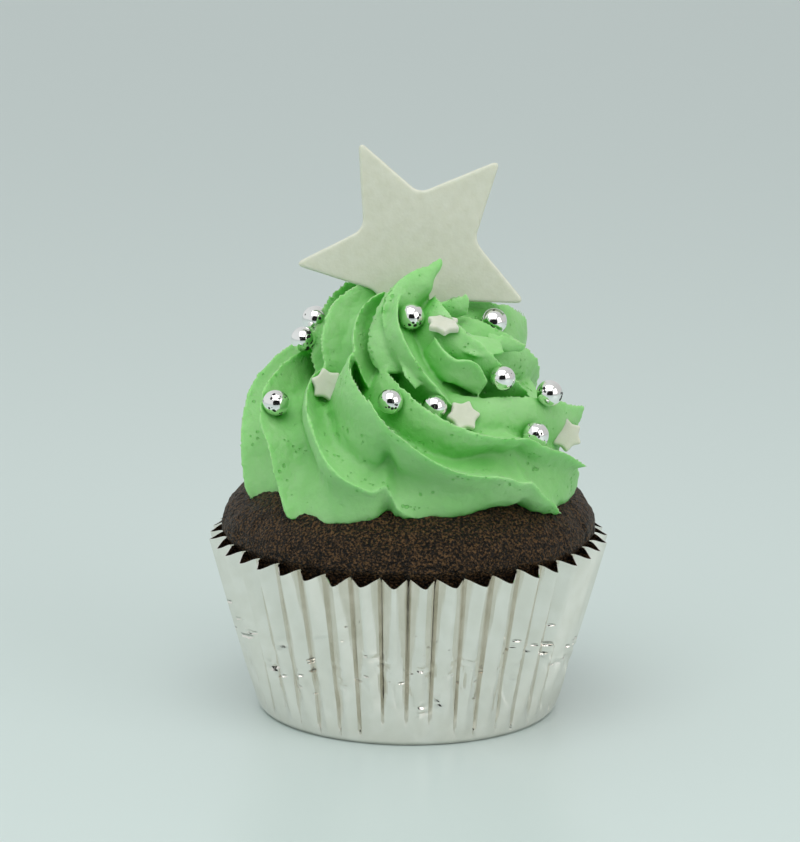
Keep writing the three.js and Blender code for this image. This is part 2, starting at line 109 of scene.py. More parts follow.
# Folds drawn out of the coil where it was let go: free edge, foot, half thickness at the foot and
# how far the face is hollowed
FOLDS = [
    ([(0.9, -19.5, 58.4), (-0.7, -19.0, 60.3), (-2.0, -16.5, 62.8), (-3.2, -14.5, 64.9),
      (-4.4, -13.0, 67.1), (-4.8, -11.5, 69.9), (-3.9, -10.3, 72.2), (-1.6, -8.8, 74.7), (1.4, -7.5, 76.3),
      (5.1, -6.0, 77.5)],
     [(2.6, -12.0, 59.3), (1.5, -11.0, 60.8), (0.8, -9.5, 62.6), (0.2, -8.0, 64.3), (-0.1, -7.0, 66.2),
      (0.6, -6.0, 68.1), (1.9, -5.6, 70.1), (3.2, -5.6, 72.2), (3.9, -5.8, 74.4), (5.4, -6.0, 77.0)],
     1.6, 1.0),
    ([(-4.7, -15.5, 60.1), (-6.4, -13.5, 61.2), (-7.1, -12.0, 63.5), (-7.1, -10.8, 65.8), (-6.7, -9.8, 68.0),
      (-4.9, -8.9, 71.4), (-2.6, -8.0, 74.0), (0.4, -7.2, 76.1), (4.6, -6.0, 77.6)],
     [(-1.7, -15.5, 60.2), (-2.4, -14.5, 62.0), (-3.4, -13.2, 64.1), (-4.0, -12.0, 66.0),
      (-4.5, -10.8, 68.3), (-3.8, -9.6, 71.2), (-2.2, -8.6, 73.5), (0.4, -7.5, 75.4), (4.9, -6.0, 77.4)],
     0.9, 0.4),
    ([(3.3, -7.2, 71.0), (4.7, -7.4, 70.9), (6.7, -7.2, 71.7), (9.5, -6.4, 72.2)],
     [(3.5, -7.0, 67.8), (4.8, -6.5, 67.4), (6.8, -6.0, 67.6), (9.3, -5.4, 68.4)], 1.2, 0.4),
    ([(3.9, -15.0, 66.4), (5.7, -16.8, 64.3), (7.4, -17.6, 63.3), (9.7, -17.6, 63.2), (11.4, -17.4, 62.0),
      (12.7, -16.3, 59.3)],
     [(2.6, -12.0, 63.1), (3.7, -13.5, 61.1), (5.4, -14.5, 59.3), (7.5, -14.5, 58.6), (9.3, -14.0, 57.5),
      (11.2, -13.5, 55.9)], 1.6, -0.5),
    ([(7.0, -12.5, 65.4), (9.0, -14.8, 63.8), (11.4, -14.8, 63.2), (15.4, -12.0, 63.2)],
     [(7.6, -9.0, 66.2), (9.7, -9.5, 65.4), (12.3, -9.0, 64.8), (14.7, -8.0, 63.9)], 1.3, 0.3),
    ([(12.7, -8.2, 66.1), (15.5, -8.0, 65.4), (19.7, -5.5, 63.4)],
     [(12.7, -8.0, 63.2), (15.5, -7.5, 62.4), (18.4, -5.0, 62.1)], 1.4, 0.3),
]

# Big star, cut by hand: azimuth and reach of each tip and waist in turn
STAR_CORNERS = [(47.4, 19.2), (89.3, 9.3), (119.3, 19.5), (160.7, 9.8), (187.8, 19.9), (227.0, 9.9),
                (263.0, 19.4), (297.5, 9.9), (333.5, 19.2), (368.9, 9.6)]
STAR_TIP_ROUND = 1.6
STAR_TIP_SPARE = 1.0
STAR_WAIST_SPARE = -0.15
STAR_THICK = 2.5
STAR_LEAN = 8.0
STAR_CENTRE = (1.2, 2.0, 77.9)
STAR_VOXEL = 0.2
STAR_TRIANGLES = 90000

# Silver balls by their middles, small sugar stars by their middles and the way each faces
BALL_RADIUS = 2.15
BALLS = [
    (-17.8, -0.2, 62.8), (-15.9, 3.5, 65.5), (-22.0, -9.4, 53.9), (-3.1, -22.5, 57.2), (0.2, -11.1, 68.9),
    (4.0, -19.3, 55.7), (15.1, -14.2, 59.4), (20.6, -15.4, 50.2), (23.0, -10.5, 56.1), (13.9, -0.6, 66.1),
    (14.9, 17.8, 58.0), (15.2, 20.4, 48.5), (3.6, 19.1, 62.3), (-5.6, 23.7, 51.8), (-12.5, 16.8, 60.6),
    (-21.2, 11.9, 48.7),
]
SPRINKLE_RADIUS = 2.8
SPRINKLE_WAIST = 2.05
SPRINKLE_THICK = 1.3
SPRINKLES = [
    ((-13.6, -11.1, 57.4), (0.15, -0.9, 0.4)), ((8.7, -18.7, 54.0), (0.2, -0.78, 0.6)),
    ((5.4, -13.0, 68.0), (0.1, -0.35, 0.93)), ((26.0, -6.5, 48.2), (0.3, -0.9, 0.3)),
    ((10.8, 23.2, 60.0), (0.2, 0.67, 0.71)), ((-0.8, 22.7, 57.0), (0.31, 0.95, -0.07)),
    ((-16.8, 15.0, 53.0), (-0.67, 0.74, -0.02)),
]


def linear(code):
    """sRGB hex to linear RGBA."""
    channels = [int(code[i:i + 2], 16) / 255 for i in (0, 2, 4)]
    return tuple(c / 12.92 if c <= 0.04045 else ((c + 0.055) / 1.055) ** 2.4 for c in channels) + (1.0,)


def add_node(material, kind, values=None, links=None, **settings):
    """Adds one node with its settings, its socket values and its incoming links."""
    node = material.node_tree.nodes.new(kind)
    for name, value in settings.items():
        setattr(node, name, value)
    for name, value in (values or {}).items():
        node.inputs[name].default_value = value
    for name, source in (links or {}).items():
        material.node_tree.links.new(source, node.inputs[name])
    return node


def new_material(name):
    material = bpy.data.materials.new(name)
    material.use_nodes = True
    shader = material.node_tree.nodes["Principled BSDF"]
    return material, shader


def plug(material, source, shader, socket):
    material.node_tree.links.new(source, shader.inputs[socket])


def in_edit(piece):
    bpy.ops.object.select_all(action="DESELECT")
    bpy.context.view_layer.objects.active = piece
    piece.select_set(True)
    bpy.ops.object.mode_set(mode="EDIT")


def out_of_edit():
    bpy.ops.object.mode_set(mode="OBJECT")


def finish_modifier(piece, kind, **settings):
    """Adds a modifier with its settings and applies it."""
    bpy.ops.object.select_all(action="DESELECT")
    bpy.context.view_layer.objects.active = piece
    piece.select_set(True)
    modifier = piece.modifiers.new(kind.lower(), kind)
    for name, value in settings.items():
        setattr(modifier, name, value)
    bpy.ops.object.modifier_apply(modifier=modifier.name)


def corners(piece):
    co = np.zeros(len(piece.data.vertices) * 3)
    piece.data.vertices.foreach_get("co", co)
    return co.reshape(-1, 3)


def set_corners(piece, co):
    piece.data.vertices.foreach_set("co", np.asarray(co, float).ravel())
    piece.data.update()


def settle(piece):
    """Puts the object at the origin, with its place in its mesh."""
    bpy.ops.object.select_all(action="DESELECT")
    bpy.context.view_layer.objects.active = piece
    piece.select_set(True)
    bpy.ops.object.transform_apply(location=True, rotation=True, scale=True)


def dress(piece, material, slot, *nodes):
    piece.data.materials.clear()
    piece.data.materials.append(material)
    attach(piece, "root")
    if nodes:
        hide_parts(*nodes)


def relief(name, size, depth=2):
    texture = bpy.data.textures.new(name, "CLOUDS")
    texture.noise_scale = size * MM
    texture.noise_depth = depth
    return texture


def raise_relief(piece, name, size, height, depth=2):
    """Displaces the skin by a soft random relief, size and height in millimetres."""
    finish_modifier(piece, "DISPLACE", texture=relief(name, size, depth), texture_coords="LOCAL",
                    strength=height * MM, mid_level=0.5)


def drift(seed, x):
    """A smooth random curve through seeded values, one for each whole x, about -1 to 1."""
    values = np.random.default_rng(seed).uniform(-1, 1, 512)
    x = np.asarray(x, float)
    cell = np.floor(x).astype(int)
    t = x - cell
    t = t * t * (3 - 2 * t)
    return values[cell % 512] * (1 - t) + values[(cell + 1) % 512] * t


def between(xs, ys, x):
    """Smooth values between the stations of a table, by cubic pieces."""
    xs = np.asarray(xs, float)
    ys = np.asarray(ys, float)
    x = np.asarray(x, float)
    slopes = np.empty_like(ys)
    slopes[1:-1] = (ys[2:] - ys[:-2]) / (xs[2:] - xs[:-2])
    slopes[0] = (ys[1] - ys[0]) / (xs[1] - xs[0])
    slopes[-1] = (ys[-1] - ys[-2]) / (xs[-1] - xs[-2])
    i = np.clip(np.searchsorted(xs, x) - 1, 0, len(xs) - 2)
    h = xs[i + 1] - xs[i]
    t = (x - xs[i]) / h
    return ((2 * t**3 - 3 * t**2 + 1) * ys[i] + (t**3 - 2 * t**2 + t) * h * slopes[i]
            + (3 * t**2 - 2 * t**3) * ys[i + 1] + (t**3 - t**2) * h * slopes[i + 1])


def raised_rings(name, rings, sides, close_first=True, close_last=False):
    """A circle extruded ring by ring, each ring a radius and a height in millimetres."""
    radius, height = rings[0]
    bpy.ops.mesh.primitive_circle_add(vertices=sides, radius=radius * MM, location=(0, 0, height * MM))
    piece = bpy.context.object
    piece.name = name
    settle(piece)
    in_edit(piece)
    bpy.ops.mesh.select_all(action="SELECT")
    if close_first:
        bpy.ops.mesh.edge_face_add()
        bpy.ops.mesh.inset(thickness=radius * MM * 0.5)
        bpy.ops.mesh.poke()
    out_of_edit()
    co = corners(piece)
    rim = np.hypot(co[:, 0], co[:, 1]) > radius * MM * 0.99
    piece.data.vertices.foreach_set("select", rim)
    # the edges' own marks count too: only the rim's may be set, or the whole floor is extruded
    for edge in piece.data.edges:
        edge.select = bool(rim[list(edge.vertices)].all())
    piece.data.polygons.foreach_set("select", np.zeros(len(piece.data.polygons), bool))
    in_edit(piece)
    bpy.ops.mesh.select_mode(type="VERT")
    bpy.ops.mesh.select_mode(type="EDGE")
    for next_radius, next_height in rings[1:]:
        bpy.ops.mesh.extrude_edges_move(
            TRANSFORM_OT_translate={"value": (0, 0, (next_height - height) * MM)})
        ratio = next_radius / radius
        bpy.ops.transform.resize(value=(ratio, ratio, 1), center_override=(0, 0, 0))
        radius, height = next_radius, next_height
    if close_last:
        bpy.ops.mesh.merge(type="CENTER")
    bpy.ops.mesh.select_all(action="SELECT")
    bpy.ops.mesh.normals_make_consistent(inside=False)
    out_of_edit()
    return piece


# ---- foil case
def make_case():
    shares = np.linspace(0, 1, FOIL_ROWS)
    rings = [(FLOOR_RADIUS - 0.9, 0.0), (FLOOR_RADIUS - 0.35, 0.1), (FLOOR_RADIUS, 0.5)]
    for share in shares[2:]:
        rings.append((FLOOR_RADIUS + (RIM_RADIUS - FLOOR_RADIUS) * share, share * RIM_HEIGHT))
    piece = raised_rings("foil_case", rings, FLUTES * POINTS_PER_FLUTE)
    pleat(piece)
    finish_modifier(piece, "SOLIDIFY", thickness=FOIL * MM, offset=-1)
    return piece


def pleat(piece):
    """Folds the smooth wall. Each fold runs down a line of corners, so it stays crisp."""
    co = corners(piece) / MM
    radius = np.hypot(co[:, 0], co[:, 1])
    flute = (np.degrees(np.arctan2(co[:, 1], co[:, 0])) % 360) * FLUTES / 360
    height = co[:, 2]
    share = np.clip(height / RIM_HEIGHT, 0, 1)
    wall = np.clip((radius - FLOOR_RADIUS + 1.2) / 1.2, 0, 1)
    folds = np.arange(2 * FLUTES + 1) / 2
    rng = np.random.default_rng(3)

    def per_fold(low, high):
        values = rng.uniform(low, high, 2 * FLUTES)
        return np.append(values, values[0])

    across = per_fold(-0.07, 0.07)
    slant = per_fold(-0.10, 0.10)
    strength = per_fold(0.9, 1.25)
    end = per_fold(-2.0, 5.0)
    along = lambda values: np.interp(flute, folds, values)
    phase = flute % 1
    outward = np.abs(1 - 2 * phase)
    depth = FLUTE_DEPTH_FLOOR + (FLUTE_DEPTH_RIM - FLUTE_DEPTH_FLOOR) * share**0.8
    depth = depth * along(strength) * np.clip((height - along(end) + 3.5) / 8, 0, 1) ** 0.8
    bend = 1 - np.sqrt((1 - outward) ** 2 + 0.004)
    offset = depth * (bend - 0.5)
    # the inner folds are pinched, and fade out downwards
    pinch = np.exp(-((phase - 0.5) / 0.05) ** 2)
    offset -= FOLD_PINCH * pinch * np.clip((height - along(end) + 2) / 5, 0, 1)
    offset += 0.06 * drift(8, flute * 2 + share * 3) * np.clip(height / 6, 0, 1)
    angle = (flute + along(across) * share + along(slant) * (1 - share)) * 360 / FLUTES
    # finger marks: short level ticks and curved creases, most of them in the lower half
    rng = np.random.default_rng(12)
    for _ in range(FINGER_TICKS):
        centre, level = rng.uniform(0, 360), rng.triangular(4, 14, 22)
        wide, tall, deep = rng.uniform(0.5, 1.1), rng.uniform(0.3, 0.45), rng.uniform(0.15, 0.35)
        beside = ((angle - centre + 180) % 360 - 180) * math.pi / 180 * radius
        up = height - level - 0.15 * beside
        offset -= deep * np.exp(-(beside / wide) ** 2 - (up / tall) ** 2)
        offset += 0.5 * deep * np.exp(-(beside / wide) ** 2 - ((up - 2 * tall) / tall) ** 2)
    for _ in range(FINGER_CREASES):
        centre, level = rng.uniform(0, 360), rng.triangular(5, 9, 15)
        tall, bow, deep = rng.uniform(1.4, 2.6), rng.uniform(-0.3, 0.3), rng.uniform(0.15, 0.34)
        beside = ((angle - centre + 180) % 360 - 180) * math.pi / 180 * radius
        line = beside - bow * (height - level) ** 2 * 0.5
        offset -= deep * np.exp(-(line / 0.45) ** 2 - ((height - level) / tall) ** 2)
    new = radius + offset * wall * np.clip(height / 2.5, 0, 1)
    # the rim zigzags, with its tips and hollows a little rounded
    rounded = 0.5 * np.sin(math.pi * (outward - 0.5))
    dip = share**4 * RIM_ZIGZAG * rounded - share**12 * 0.2 * drift(9, flute * 2)
    # the rim is pressed down a little at the front
    dip += share**3 * RIM_FRONT_DIP * np.clip(-np.sin(np.radians(angle)), 0, 1)
    wanted = radius > FLOOR_RADIUS * 0.9
    turn = np.radians(angle)
    co[wanted, 0] = (new * np.cos(turn))[wanted]
    co[wanted, 1] = (new * np.sin(turn))[wanted]
    co[:, 2] -= dip * (height > 0.2)
    set_corners(piece, co * MM)


# ---- sponge
def cake_rings(grow=0.0, rows=90):
    rings = [(22.6, 0.9), (23.4, 1.3), (25.4, 12.0), (28.4, 24.0), (30.3, 29.3)]
    for i in range(rows):
        around = i / rows * math.pi / 2
        out = math.cos(around) ** (2 / DOME_POWER)
        up = math.sin(around) ** (2 / DOME_POWER)
        rings.append(((DOME_RADIUS + grow) * out, DOME_SPRING + (DOME_RISE + grow) * up))
    return rings


def dome_height(radius, grow=0.0):
    share = np.clip(radius / (DOME_RADIUS + grow), 0, 1)
    return DOME_SPRING + (DOME_RISE + grow) * (1 - share**DOME_POWER) ** (1 / DOME_POWER)


def make_cake():
    piece = raised_rings("sponge_cake", cake_rings(-0.1), CAKE_SIDES, close_last=True)
    raise_relief(piece, "sponge_swell", 5, 0.9)
    raise_relief(piece, "sponge_crumb", 1.5, 0.5, 3)
    co = corners(piece)
    co[:, 2] = np.maximum(co[:, 2], 0.7 * MM)
    set_corners(piece, co)
    return piece


# ---- icing
def nozzle_section():
    """Angle, reach, valley and ridge number round the section."""
    rows = []
    for k in range(RIDGES):
        n = (k + 1) % RIDGES
        first = 360 / RIDGES * k + RIDGE_SHIFT[k]
        last = 360 / RIDGES * (k + 1) + RIDGE_SHIFT[n]
        for i in range(POINTS_PER_RIDGE):
            share = i / POINTS_PER_RIDGE
            valley = math.sin(math.pi * share) ** 0.9
            lean = RIDGE_LEAN * (1 - valley) ** 1.3
            rows.append((first + (last - first) * share + lean,
                         RIDGE_REACH[k] + (RIDGE_REACH[n] - RIDGE_REACH[k]) * share,
                         valley, k + share))
    return np.array(rows).T


def coil_path(turn):
    azimuth = np.radians(COIL_START - 360 * turn)
    out = between(COIL[:, 0], COIL[:, 1], turn)
    up = between(COIL[:, 0], COIL[:, 2], turn)
    return np.stack([out * np.cos(azimuth), out * np.sin(azimuth), up], -1)


def coil_rings(first, last):
    angle, reach, valley, place = nozzle_section()
    steps = int((last - first) * STEPS_PER_TURN)
    turn = np.linspace(first, last, steps + 1)
    centre = coil_path(turn)
    along = coil_path(turn + 1e-3) - coil_path(turn - 1e-3)
    along /= np.linalg.norm(along, axis=1, keepdims=True)
    azimuth = np.radians(COIL_START - 360 * turn)
    outward = np.stack([np.cos(azimuth), np.sin(azimuth), 0 * turn], -1)
    outward -= along * (outward * along).sum(1, keepdims=True)
    outward /= np.linalg.norm(outward, axis=1, keepdims=True)
    up = np.cross(along, outward)
    thick = between(COIL[:, 0], COIL[:, 3], turn)[:, None]
    roll = between(COIL[:, 0], COIL[:, 4], turn)[:, None]
    square = 2 + (SAG_SQUARE - 2) * np.clip(1.15 - turn, 0, 1)[:, None]
    around = np.radians(angle[None] + roll - 180)
    x = -np.sin(around)
    y = np.cos(around)
    sagging = (x > 0) & (y < 0)
    press = (np.abs(x) ** square + np.abs(y) ** square) ** (-1 / square)
    x = np.where(sagging, x * press, x)
    y = np.where(sagging, y * press, y)
    depth = VALLEY_DEPTH * valley * (1 - SAG_FILL * np.clip((-y - SAG_FROM) / (1 - SAG_FROM), 0, 1))
    splay = np.exp(-turn / TIP_LENGTH)[:, None] * (1 - valley) * np.where(y < -0.3, -0.4, 1)
    radius = thick * reach * (1 - depth) * (1 + TIP_FLARE * splay)
    # the ridges waver and tear a little as the rope leaves the teeth
    run = turn[:, None] * 90
    ridge = np.round(place).astype(int) % RIDGES
    edge = (1 - valley) ** 2
    for k in range(RIDGES):
        mine = (ridge == k)[None] * edge
        radius += mine * (0.25 * drift(20 + k, run / 5) + 0.03 * drift(30 + k, run / 1.6))
        radius -= mine * 0.8 * np.clip(drift(40 + k, run / 3.5) - 0.7, 0, 1)
    radius += 0.16 * drift(50, place * 5)[None] * (1 - edge)
    inner = between(COIL[:, 0], COIL[:, 1], turn)[:, None] - 1
    crossing = (x < 0) & (-x * radius > inner)
    radius = np.where(crossing, inner / np.maximum(-x, 1e-6), radius)
    return (centre[:, None] + outward[:, None] * (x * radius)[..., None]
            + up[:, None] * (y * radius)[..., None] - along[:, None] * (TIP_BACK * splay)[..., None])


def peak_rings():
    angle, reach, valley, place = nozzle_section()
    marks = np.linspace(0, 1, len(PEAK_PATH))
    share = np.linspace(0, 1, 160)
    path = lambda s: np.stack([between(marks, PEAK_PATH[:, i], s) for i in range(3)], -1)
    centre = path(share)
    along = path(np.minimum(share + 1e-3, 1)) - path(np.maximum(share - 1e-3, 0))
    along /= np.linalg.norm(along, axis=1, keepdims=True)
    side = np.array([1.0, 0, 0]) - along * along[:, :1]
    side /= np.linalg.norm(side, axis=1, keepdims=True)
    back = np.cross(along, side)
    thick = between(marks, PEAK_THICK, share)[:, None]
    roll = between(marks, PEAK_ROLL, share)[:, None]
    around = np.radians(angle[None] + roll)
    radius = thick * reach * (1 - VALLEY_DEPTH * valley)
    edge = (1 - valley) ** 2
    radius += edge * 0.03 * thick * drift(60, share[:, None] * 14 + np.round(place)[None] * 9)
    return (centre[:, None] + side[:, None] * (radius * np.cos(around))[..., None]
            + back[:, None] * (radius * np.sin(around))[..., None])


def fold_rings(edge, foot, half, hollow):
    marks = np.arange(len(edge))
    share = np.linspace(0, len(edge) - 1, 24 * len(edge))
    smooth = lambda points: np.stack([between(marks, np.array(points)[:, i], share) for i in range(3)], -1)
    edge, foot = smooth(edge), smooth(foot)
    along = np.gradient(edge, axis=0)
    across = foot - edge
    face = np.cross(across, along)
    face /= np.linalg.norm(face, axis=1, keepdims=True)
    around = np.linspace(0, 2 * np.pi, 48, endpoint=False)
    depth = (1 - np.cos(around)) / 2
    side = np.sign(np.sin(around)) * np.abs(np.sin(around)) ** 0.8
    room = np.clip(np.linalg.norm(across, axis=1) / 5, 0.1, 1)[:, None]
    bulge = half * (0.16 + 0.84 * depth) * side + hollow * np.sin(np.pi * depth)
    ruffle = 0.12 * drift(70, share * 1.5)[:, None] * (1 - depth) ** 2
    return (edge[:, None] + across[:, None] * depth[None, :, None]
            + face[:, None] * (room * (bulge + ruffle))[..., None])


def skin(name, rings):
    """A closed skin through rings of equal length."""
    rows, count = rings.shape[:2]
    faces = [(i * count + j, i * count + (j + 1) % count,
              (i + 1) * count + (j + 1) % count, (i + 1) * count + j)
             for i in range(rows - 1) for j in range(count)]
    faces.append(tuple(range(count))[::-1])
    faces.append(tuple((rows - 1) * count + j for j in range(count)))
    mesh = bpy.data.meshes.new(name)
    mesh.from_pydata((rings.reshape(-1, 3) * MM).tolist(), [], faces)
    piece = bpy.data.objects.new(name, mesh)
    bpy.context.scene.collection.objects.link(piece)
    in_edit(piece)
    bpy.ops.mesh.select_all(action="SELECT")
    bpy.ops.mesh.normals_make_consistent(inside=False)
    out_of_edit()
    return piece


def hang(co):
    """The lowest ridges hang over the sponge at the front left, and end short of it at the front right."""
    azimuth = np.degrees(np.arctan2(co[:, 1], co[:, 0]))
    radius = np.hypot(co[:, 0], co[:, 1])
    low = np.clip((HANG_TOP - co[:, 2] / MM) / HANG_FADE, 0, 1) * np.clip(radius / MM / 8 - 1, 0, 1)
    rise = np.zeros(len(co))
    reach = np.zeros(len(co))
    for middle, wide, up, out in HANGS:
        near = np.exp(-((azimuth - middle) / wide) ** 2)
        rise += up * near
        reach += out * near
    co[:, :2] *= (1 + low * reach * MM / np.maximum(radius, MM))[:, None]
    co[:, 2] += low * rise * MM
    return co


def make_icing():
    parts = [skin("rope", coil_rings(a, b)) for a, b in zip(COIL_CUTS, COIL_CUTS[1:])]
    parts.append(skin("peak", peak_rings()))
    parts += [skin("fold", fold_rings(*fold)) for fold in FOLDS]
    bpy.ops.mesh.primitive_cone_add(vertices=48, radius1=15 * MM, radius2=4 * MM, depth=28 * MM,
                                    location=(0, 0, 54 * MM))
    core = bpy.context.object
    settle(core)
    parts.append(core)
    bpy.ops.object.select_all(action="DESELECT")
    for part in parts:
        part.select_set(True)
    bpy.context.view_layer.objects.active = parts[0]
    bpy.ops.object.join()
    piece = bpy.context.object
    piece.name = "buttercream"
    co = hang(corners(piece))
    floor = dome_height(np.hypot(co[:, 0], co[:, 1]) / MM, 0.0) - 0.6
    co[:, 2] = np.maximum(co[:, 2], floor * MM)
    set_corners(piece, co)
    finish_modifier(piece, "REMESH", mode="VOXEL", voxel_size=ICING_VOXEL * MM)
    finish_modifier(piece, "SMOOTH", factor=0.5, iterations=6)
    raise_relief(piece, "icing_swell", 4.5, 0.55)
    raise_relief(piece, "icing_lumps", 1.6, 0.22)
    count = len(piece.data.polygons) * 2
    finish_modifier(piece, "DECIMATE", ratio=min(1, ICING_TRIANGLES / count))
    bpy.ops.object.shade_smooth()
    return piece


# ---- big star
def star_outline(name, ring, thick):
    """A ring of tips and waists, filled and extruded to its thickness, lying flat on the origin."""
    bpy.ops.mesh.primitive_circle_add(vertices=len(ring), radius=ring[0][1] * MM)
    piece = bpy.context.object
    piece.name = name
    settle(piece)
    co = corners(piece)
    order = np.argsort(np.degrees(np.arctan2(co[:, 1], co[:, 0])) % 360)
    for vertex, (azimuth, reach) in zip(order, ring):
        angle = math.radians(azimuth)
        co[vertex] = (reach * MM * math.cos(angle), reach * MM * math.sin(angle), -thick * MM / 2)
    set_corners(piece, co)
    in_edit(piece)
    bpy.ops.mesh.select_all(action="SELECT")
    bpy.ops.mesh.edge_face_add()
    bpy.ops.mesh.extrude_region_move(TRANSFORM_OT_translate={"value": (0, 0, thick * MM)})
    bpy.ops.mesh.select_all(action="SELECT")
    bpy.ops.mesh.normals_make_consistent(inside=False)
    out_of_edit()
    return piece


def make_star():
    # the rounding takes 1 mm off a tip and fills a waist a little
    ring = [(azimuth, reach + (STAR_TIP_SPARE if i % 2 == 0 else STAR_WAIST_SPARE))
            for i, (azimuth, reach) in enumerate(STAR_CORNERS)]
    piece = star_outline("sugar_star", ring, STAR_THICK)
    # cutter corners are slightly round, and the paste's edges softer
    height = corners(piece)[:, 2]
    upright = [e for e in piece.data.edges if abs(height[e.vertices[0]] - height[e.vertices[1]]) > MM]
    for edge in piece.data.edges:
        edge.select = False
    for vertex in piece.data.vertices:
        vertex.select = False
    for face in piece.data.polygons:
        face.select = False
    for edge in upright:
        edge.select = True
    in_edit(piece)
    bpy.ops.mesh.select_mode(type="EDGE")
    bpy.ops.mesh.bevel(offset=STAR_TIP_ROUND * MM, segments=6, profile=0.5, affect="EDGES")
    out_of_edit()
    finish_modifier(piece, "BEVEL", width=0.75 * MM, segments=5, limit_method="ANGLE",
                    angle_limit=math.radians(40))
    finish_modifier(piece, "REMESH", mode="VOXEL", voxel_size=STAR_VOXEL * MM)
    finish_modifier(piece, "SMOOTH", factor=0.5, iterations=4)
    raise_relief(piece, "paste_swell", 9, 0.25)
    raise_relief(piece, "paste_grain", 0.7, 0.03)
    count = len(piece.data.polygons) * 2
    finish_modifier(piece, "DECIMATE", ratio=min(1, STAR_TRIANGLES / count))
    lean = Quaternion((1, 0, 0), math.radians(-STAR_LEAN))
    stand = Quaternion((1, 0, 0), math.radians(90))
    place = Matrix.Translation(Vector(STAR_CENTRE) * MM) @ (lean @ stand).to_matrix().to_4x4()
    piece.data.transform(place)
    bpy.ops.object.shade_smooth()
    return piece


# ---- toppings
def copy_to(model, place):
    piece = model.copy()
    piece.data = model.data.copy()
    bpy.context.scene.collection.objects.link(piece)
    piece.data.transform(place)
    return piece


def join(name, parts):
    bpy.ops.object.select_all(action="DESELECT")
    for part in parts:
        part.select_set(True)
    bpy.context.view_layer.objects.active = parts[0]
    bpy.ops.object.join()
    piece = bpy.context.object
    piece.name = name
    return piece


def make_balls():
    rng = np.random.default_rng(5)
    bpy.ops.mesh.primitive_ico_sphere_add(subdivisions=5, radius=BALL_RADIUS * MM)
    model = bpy.context.object
    parts = []
    for middle in BALLS:
        turn = Quaternion(rng.normal(size=4)).normalized().to_matrix().to_4x4()
        size = Matrix.Scale(rng.uniform(0.96, 1.03), 4)
        ball = copy_to(model, Matrix.Translation(Vector(middle) * MM) @ turn @ size)
        parts.append(ball)
    bpy.data.objects.remove(model)
    piece = join("silver_balls", parts)
    raise_relief(piece, "ball_swell", 2.2, 0.16, 1)
    bpy.ops.object.shade_smooth()
    return piece


def make_sprinkles():
    rng = np.random.default_rng(9)
    ring = [(30 * i, SPRINKLE_RADIUS + 0.15 if i % 2 == 0 else SPRINKLE_WAIST) for i in range(12)]
    model = star_outline("sprinkle", ring, SPRINKLE_THICK)
    finish_modifier(model, "BEVEL", width=0.35 * MM, segments=3, limit_method="ANGLE",
                    angle_limit=math.radians(30))
    finish_modifier(model, "REMESH", mode="VOXEL", voxel_size=0.13 * MM)
    finish_modifier(model, "SMOOTH", factor=0.5, iterations=5)
    parts = []
    for middle, facing in SPRINKLES:
        turn = Vector((0, 0, 1)).rotation_difference(Vector(facing).normalized())
        spin = Quaternion((0, 0, 1), rng.uniform(0, 1))
        place = Matrix.Translation(Vector(middle) * MM) @ (turn @ spin).to_matrix().to_4x4()
        parts.append(copy_to(model, place))
    bpy.data.objects.remove(model)
    piece = join("sugar_sprinkles", parts)
    bpy.ops.object.shade_smooth()
    return piece


